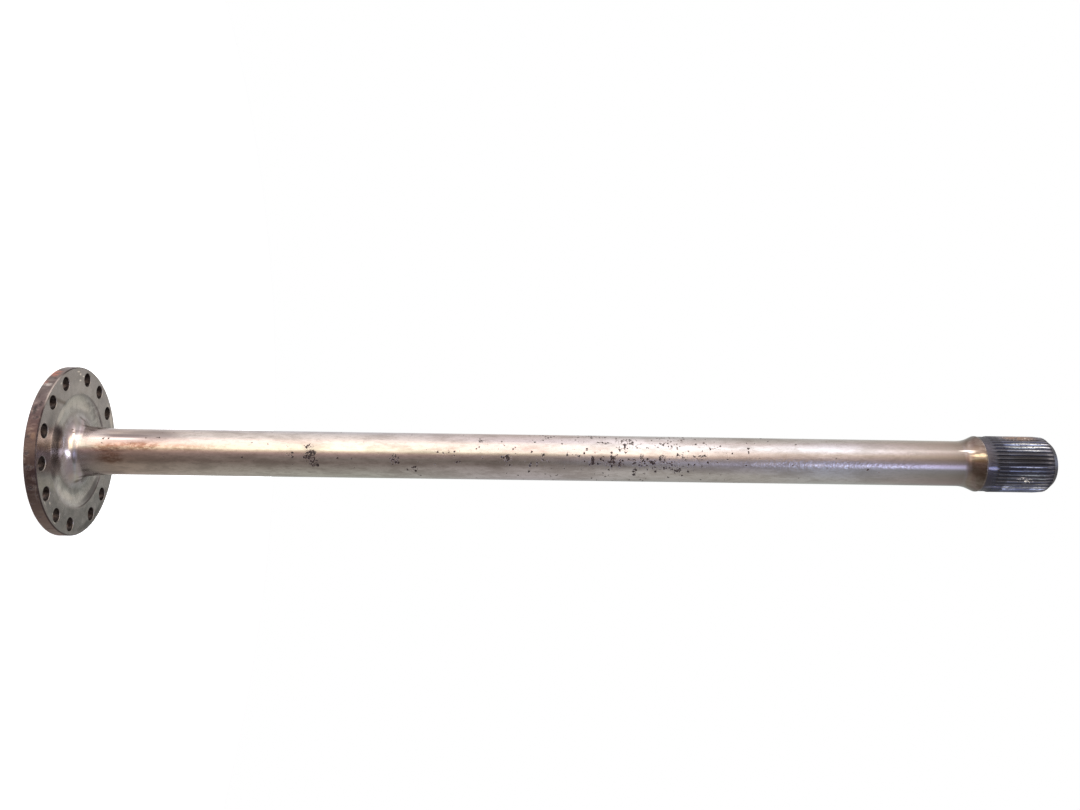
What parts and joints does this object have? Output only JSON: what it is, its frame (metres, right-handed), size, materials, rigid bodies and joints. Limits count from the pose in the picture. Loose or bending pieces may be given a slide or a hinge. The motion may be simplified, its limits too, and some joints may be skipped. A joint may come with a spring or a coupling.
{
  "type": "axle shaft",
  "caption": "One-piece flanged axle shaft with a drilled round flange at one end and an involute spline at the other.",
  "frame": {"origin": "centre of the flange's outer face, which the shaft stands on", "axes": "+Z along the shaft from the flange to the spline, +Y through the gap between the two groups of bolt holes"},
  "size_m": [0.19, 0.19, 1.1255],
  "materials": {
    "forged_steel": "turned and ground steel with heat tint, handling marks and patches of pitting rust"
  },
  "bodies": {
    "root": {"axle_shaft": "forged_steel"}
  },
  "joints": []
}
